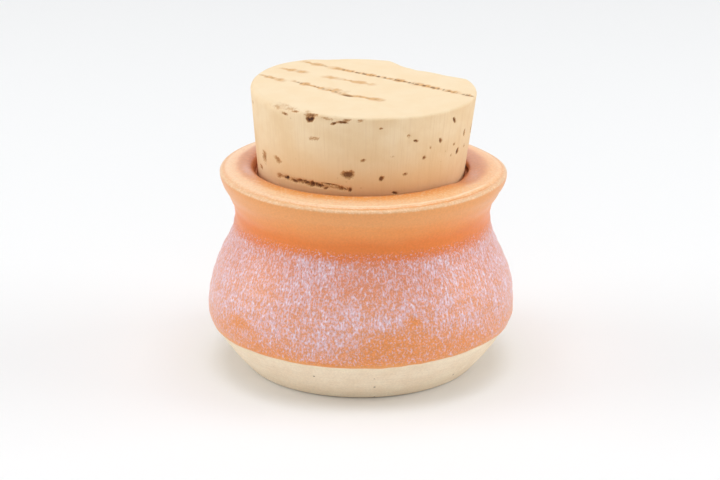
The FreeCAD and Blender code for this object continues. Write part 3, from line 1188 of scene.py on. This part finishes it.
# %% A group that draws one growth line
def growth_line_group():
    """One line on a flat cut: a thin core that comes and goes, in a paler band of changing width.

    Its middle is the same curve as in the mesh: place, plus slope times the distance along, plus a
    sine.  The distance from that middle is compared with a width that noise changes on the way.
    """
    names = ("Along", "Across", "Place", "Start", "End", "Reach", "Phase", "Slope")
    group, given, result = new_group(
        "growth_line",
        [(name, "NodeSocketFloat", 0.0) for name in names],
        [("Band", "NodeSocketFloat"), ("Core", "NodeSocketFloat")],
    )
    along, across = given["Along"], given["Across"]
    middle = times(group, sums(group, "ADD", given["Start"], given["End"]), 0.5)
    leaning = times(group, sums(group, "SUBTRACT", along, middle), given["Slope"])
    swing = sums(group, "SINE", sums(group, "MULTIPLY_ADD", along, LINE_WANDER, given["Phase"]))
    line = sums(group, "ADD", given["Place"], sums(group, "MULTIPLY_ADD", swing, given["Reach"], leaning))
    spot = put(group, "ShaderNodeCombineXYZ", {0: along, 1: given["Place"]}).outputs[0]
    line = nudge(group, line, ripple(group, spot, 0.9, 3.0), 0.9)
    away = off_from(group, across, line)
    half = fade(group, ripple(group, spot, 0.42), 0.36, 0.62, 0.7, 2.1)
    begun = sums(group, "SUBTRACT", along, given["Start"])
    left = sums(group, "SUBTRACT", given["End"], along)
    ends = fade(group, sums(group, "MINIMUM", begun, left), 0.0, 3.0)

    band = fade(group, sums(group, "SUBTRACT", 1.0, sums(group, "DIVIDE", away, half)), 0.0, 0.7)
    band = times(group, band, fade(group, ripple(group, spot, 0.33, 3.0), 0.36, 0.56, 0.35, 1.0))
    core = fade(group, sums(group, "SUBTRACT", 1.0, sums(group, "DIVIDE", away, 0.8)), 0.0, 0.8)
    dashes = ripple(group, vectors(group, "ADD", spot, (0.0, 0.0, 7.0))[0], 1.0)
    core = times(group, core, fade(group, dashes, 0.45, 0.58))
    group.links.new(times(group, band, ends), result["Band"])
    group.links.new(times(group, core, ends), result["Core"])
    return group


GROWTH_LINE = growth_line_group()
print("nodes that draw one growth line:", len(GROWTH_LINE.nodes))

# %% The cork's material
CORK_LIGHT = paint(250, 224, 185)
CORK_TAN = paint(243, 212, 168)
# The next colour is painted shade with orange light bounced from the lip, laid on the cork's side just
# over the lip.
CORK_SHADED_LOW = paint(234, 188, 133)
CORK_TOP = paint(244, 223, 189)
CORK_BROWN = paint(190, 136, 82)
PORE_BROWN = paint(128, 82, 48)
CORK_DARK = paint(66, 40, 28)


def top_lines(tree, coordinates):
    """All growth lines: the strongest band and the strongest core at each point."""
    apart = axes(tree, coordinates)
    c, s = math.cos(LINE_TURN) / MM, math.sin(LINE_TURN) / MM
    along = sums(tree, "MULTIPLY_ADD", apart[0], c, sums(tree, "MULTIPLY_ADD", apart[1], s, -0.6))
    across = sums(tree, "MULTIPLY_ADD", apart[1], c, sums(tree, "MULTIPLY_ADD", apart[0], -s, -0.4))
    band, core = 0.0, 0.0
    for place, start, end, reach, phase, slope, dark in GROWTH_LINES:
        drawn = use(tree, GROWTH_LINE, {
            "Along": along, "Across": across, "Place": place, "Start": start, "End": end,
            "Reach": reach, "Phase": phase, "Slope": slope,
        })
        band = sums(tree, "MAXIMUM", times(tree, drawn["Band"], 0.7 + 0.3 * dark), band)
        core = sums(tree, "MAXIMUM", times(tree, drawn["Core"], dark ** 2), core)
    for at, off, length, width in LINE_SPOTS:
        far_along = sums(tree, "DIVIDE", sums(tree, "SUBTRACT", along, at), length / 2)
        far_across = sums(tree, "DIVIDE", sums(tree, "SUBTRACT", across, off), width / 2)
        square = sums(tree, "MULTIPLY_ADD", far_along, far_along, times(tree, far_across, far_across))
        far = sums(tree, "SQRT", square)
        band = sums(tree, "MAXIMUM", fade(tree, far, 0.5, 1.2, 1.0, 0.0), band)
        core = sums(tree, "MAXIMUM", fade(tree, far, 0.2, 1.0, 0.9, 0.0), core)
    return band, core


def side_colour(tree, coordinates, tone, knife):
    """The side: tan, knife marks, fine freckles, and painted shade with lip-bounced orange light low
    down, most in front.
    """
    apart = axes(tree, coordinates)
    side = mix(tree, tone, CORK_LIGHT, CORK_TAN)
    # Painted shade and painted orange bounce light from the lip: the side gets browner low down, most at
    # the front.
    low = fade(tree, times(tree, apart[2], 1 / MM), 51.0, 66.0, 0.8, 0.0)
    low = times(tree, low, fade(tree, apart[1], -0.024, -0.01, 1.0, 0.4))
    side = mix(tree, low, side, CORK_SHADED_LOW)
    side = mix(tree, fade(tree, knife, 0.4, 0.8, 0.0, 0.16), side, paint(214, 170, 122))
    freckles = specks(tree, coordinates, 900.0, 0.03, 0.3)
    return mix(tree, times(tree, freckles, 0.3), side, CORK_BROWN)


def top_colour(tree, tone, band, core):
    """The sanded top: paler, with a tan band and a dark core along each growth line."""
    top = mix(tree, times(tree, tone, 0.4), CORK_TOP, paint(241, 212, 170))
    top = mix(tree, times(tree, band, 0.85), top, paint(214, 160, 98))
    return mix(tree, times(tree, core, 0.85), top, paint(104, 74, 52))


# Each stain is (field of the mesh, where it starts, where it is full, tint, how much of it).
STAINS = [
    ("crumbled", 0.15, 0.6, CORK_BROWN, 0.6),
    ("crumbled", 0.6, 0.9, CORK_DARK, 0.7),
    ("bark", 0.15, 0.5, CORK_BROWN, 0.75),
    ("bark", 0.5, 0.78, CORK_DARK, 0.95),
    ("pore", 0.04, 0.32, CORK_BROWN, 0.85),
    ("pore", 0.33, 0.58, PORE_BROWN, 0.95),
    ("pore", 0.72, 1.0, CORK_DARK, 0.95),
]


def cork_material():
    """Tan with knife marks, over which growth lines and stains are laid.

    A stain shows where its field, shaken by noise, is above its start.
    """
    material, tree, shader = new_material("cut_cork")
    coordinates = put(tree, "ShaderNodeTexCoord").outputs["Object"]
    tone = mottle(tree, coordinates, 180.0, 4.0)
    knife = noise(tree, meridian(tree, coordinates, 0.04, 0.0002), 0.45, detail=3.0)
    band, core = top_lines(tree, coordinates)
    upward = fade(tree, field(tree, "upward"), 0.1, 0.9)
    side = side_colour(tree, coordinates, tone, knife)
    colour = mix(tree, upward, side, top_colour(tree, tone, band, core))

    ragged = noise(tree, coordinates, 0.38, detail=3.0, roughness=0.6)
    for name, start, full, tint, share in STAINS:
        value = field(tree, name)
        shaken = nudge(tree, value, ragged, fade(tree, value, 0.0, 0.1, 0.0, 0.9))
        colour = mix(tree, fade(tree, shaken, start, full, 0.0, share), colour, tint)
    tree.links.new(colour, shader.inputs["Base Color"])
    shader.inputs["Roughness"].default_value = 0.8
    shader.inputs["Specular IOR Level"].default_value = 0.3

    grain = noise(tree, coordinates, 0.4, detail=4.0, roughness=0.65)
    relief = sums(tree, "MULTIPLY_ADD", knife, 0.5, sums(tree, "SUBTRACT", grain, core))
    bump = put(tree, "ShaderNodeBump", {"Height": relief, "Strength": 0.35, "Distance": 0.0001})
    tree.links.new(bump.outputs[0], shader.inputs["Normal"])
    return material


cork.data.materials.append(cork_material())
print("cork material nodes:", len(cork.data.materials[0].node_tree.nodes))

# %% [markdown]
# ## A plain place to stand
#
# The jar stands on a wide pale floor under soft light from a big panel above and white surroundings.
# White all round matters for glaze: what its gloss shows at a slant is the room.

# %% Floor
FLOOR_RADIUS = 0.85
FLOOR_POINTS = 96


def pale_floor():
    """A level round sheet, wider than the view, so that past its edge only the white room is seen."""
    turn = np.linspace(0, 2 * math.pi, FLOOR_POINTS, endpoint=False)
    rim = FLOOR_RADIUS * np.stack([np.cos(turn), np.sin(turn), 0 * turn], -1)
    mesh = bpy.data.meshes.new("floor")
    mesh.from_pydata(rim.tolist(), [], [tuple(range(len(rim)))])
    sheet = bpy.data.objects.new("floor", mesh)
    bpy.context.scene.collection.objects.link(sheet)
    material, tree, shader = new_material("pale_floor")
    shader.inputs["Base Color"].default_value = paint(246, 247, 248)
    shader.inputs["Roughness"].default_value = 0.9
    mesh.materials.append(material)
    return sheet


floor = pale_floor()
print("floor:", 2 * FLOOR_RADIUS, "m across")

# %% World and lamps
def white_room(strength):
    """Even white light from everywhere, which looks full white to the camera and in reflections."""
    world = bpy.data.worlds.new("white_room")
    world.use_nodes = True
    tree = world.node_tree
    background = tree.nodes["Background"]
    background.inputs["Color"].default_value = (1.0, 1.0, 1.0, 1.0)
    ray = put(tree, "ShaderNodeLightPath").outputs
    seen = sums(tree, "MAXIMUM", ray["Is Camera Ray"], ray["Is Glossy Ray"])
    level = sums(tree, "MULTIPLY_ADD", seen, 1.0 - strength, strength)
    tree.links.new(level, background.inputs["Strength"])
    bpy.context.scene.world = world


def panel(name, place, aim, size, power):
    """A square area lamp at a place in metres, facing a point."""
    lamp = bpy.data.lights.new(name, "AREA")
    lamp.size = size
    lamp.energy = power
    holder = bpy.data.objects.new(name, lamp)
    way = np.array(place) - np.array(aim)
    across = math.hypot(way[0], way[1])
    holder.location = place
    holder.rotation_euler = (math.atan2(across, way[2]), 0.0, math.atan2(way[0], -way[1]))
    bpy.context.scene.collection.objects.link(holder)
    print(name, "lamp:", power, "W,", size, "m square")


middle = (0.0, 0.0, 0.04)
white_room(0.37)
panel("overhead", (0.0, 0.0, 1.1), middle, 0.9, 6.5)
for name, side in (("left", -1.0), ("right", 1.0)):
    panel(name, (side, 0.0, 0.45), middle, 0.7, 3.7)
panel("fill", (0.0, -1.2, 0.35), middle, 0.7, 1.25)

# %% Camera
# It looks down a little at the jar's middle, through a long lens.
AIM_HEIGHT = 0.0307
SIDESTEP = -0.0002
DISTANCE = 0.6445
ELEVATION = math.radians(18.97)
lens = bpy.data.cameras.new("camera")
lens.sensor_width = 36.0
lens.lens = 130.0
lens.clip_start = 0.01
camera = bpy.data.objects.new("camera", lens)
camera.location = (SIDESTEP, -DISTANCE * math.cos(ELEVATION), AIM_HEIGHT + DISTANCE * math.sin(ELEVATION))
camera.rotation_euler = (math.pi / 2 - ELEVATION, 0.0, 0.0)
bpy.context.scene.collection.objects.link(camera)
bpy.context.scene.camera = camera
bpy.context.scene.view_settings.view_transform = "Standard"
print("camera:", [round(value, 3) for value in camera.location], "m")
